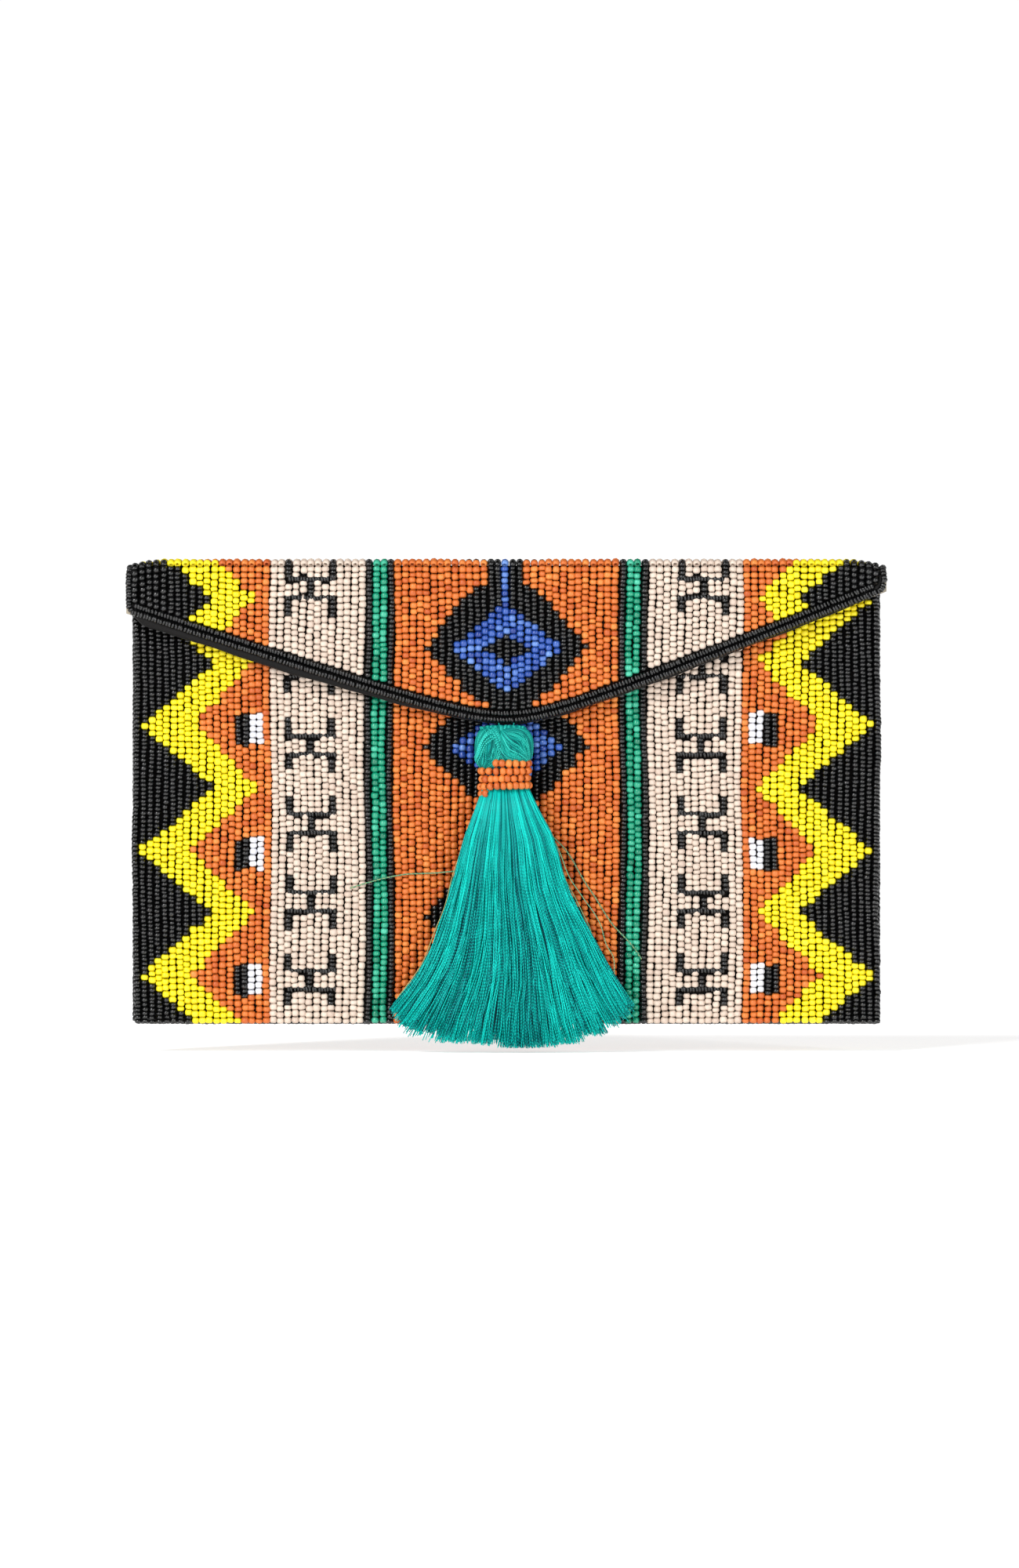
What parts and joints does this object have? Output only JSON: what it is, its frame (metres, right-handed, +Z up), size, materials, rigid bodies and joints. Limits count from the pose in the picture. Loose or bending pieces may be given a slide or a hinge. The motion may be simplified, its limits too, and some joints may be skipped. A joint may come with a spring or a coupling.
{
  "type": "clutch purse",
  "caption": "Flat envelope clutch purse of beaded cloth with a pointed fold-over flap, a magnetic snap and a silk tassel with a beaded collar.",
  "frame": {"origin": "middle of the flat back face of the purse", "axes": "+Z up towards the top fold, +X to the right as seen from the front, the front and the flap face -Y"},
  "size_m": [0.2596, 0.0256, 0.1648],
  "materials": {
    "bead_black": "gloss",
    "bead_yellow": "gloss",
    "bead_orange": "satin",
    "bead_blush": "satin",
    "bead_green": "gloss",
    "bead_blue": "gloss",
    "bead_white": "gloss",
    "base_cloth": "matte",
    "board": "matte",
    "satin_lining": "satin",
    "snap_nickel": "satin",
    "snap_magnet": "matte",
    "tassel_silk": "satin"
  },
  "bodies": {
    "purse": {"back_beads_black": "bead_black", "back_beads_yellow": "bead_yellow", "back_beads_orange": "bead_orange", "back_beads_blush": "bead_blush", "back_beads_green": "bead_green", "back_beads_blue": "bead_blue", "back_beads_white": "bead_white", "back_cloth": "base_cloth", "back_stiffener": "board", "back_lining": "satin_lining", "slip_pocket": "satin_lining", "front_beads_black": "bead_black", "front_beads_yellow": "bead_yellow", "front_beads_orange": "bead_orange", "front_beads_blush": "bead_blush", "front_beads_green": "bead_green", "front_beads_blue": "bead_blue", "front_beads_white": "bead_white", "front_cloth": "base_cloth", "front_stiffener": "board", "front_lining": "satin_lining", "front_hem": "base_cloth", "bottom_beads": "bead_black", "bottom_cloth": "base_cloth", "bottom_lining": "satin_lining", "left_edge_beads": "bead_black", "right_edge_beads": "bead_black", "left_gusset": "satin_lining", "right_gusset": "satin_lining", "snap_socket": "snap_nickel", "snap_magnet": "snap_magnet", "socket_washer": "snap_nickel", "back_fold_beads": "bead_orange", "back_fold_cloth": "base_cloth"},
    "spine": {"spine_beads": "bead_orange", "spine_cloth": "base_cloth", "spine_lining": "satin_lining"},
    "flap": {"flap_beads_black": "bead_black", "flap_beads_yellow": "bead_yellow", "flap_beads_orange": "bead_orange", "flap_beads_blush": "bead_blush", "flap_beads_green": "bead_green", "flap_beads_blue": "bead_blue", "flap_cloth": "base_cloth", "flap_stiffener": "board", "flap_lining": "satin_lining", "flap_edge_cord": "bead_black", "flap_binding": "base_cloth", "snap_stud": "snap_nickel", "stud_washer": "snap_nickel", "tassel_stitch": "tassel_silk", "front_fold_beads": "bead_orange", "front_fold_cloth": "base_cloth"},
    "loop": {"tassel_loop": "tassel_silk"},
    "tassel": {"tassel_head": "tassel_silk", "tassel_collar": "bead_orange", "tassel_skirt": "tassel_silk", "stray_thread_left": "tassel_silk", "stray_thread_right": "tassel_silk"}
  },
  "joints": [
    {"name": "flap_back_fold", "type": "hinge", "parent": "purse", "child": "spine", "pos_m": [0, -0.0025, 0.0765], "axis": [-1, 0, 0], "range_deg": [0, 90], "deforming": ["back_fold_beads", "back_fold_cloth"]},
    {"name": "flap_front_fold", "type": "hinge", "parent": "spine", "child": "flap", "pos_m": [0, -0.017, 0.0765], "axis": [-1, 0, 0], "range_deg": [0, 90], "deforming": ["front_fold_beads", "front_fold_cloth"]},
    {"name": "tassel_lift", "type": "hinge", "parent": "flap", "child": "loop", "pos_m": [0, -0.0196, 0.02085], "axis": [-1, 0, 0], "range_deg": [0, 90]},
    {"name": "tassel_swing", "type": "hinge", "parent": "loop", "child": "tassel", "pos_m": [0, -0.0196, 0.02085], "axis": [0, 1, 0], "range_deg": [-10, 10]}
  ],
  "couplings": [
    {"joint": "flap_front_fold", "follows": "flap_back_fold", "ratio": 1}
  ]
}
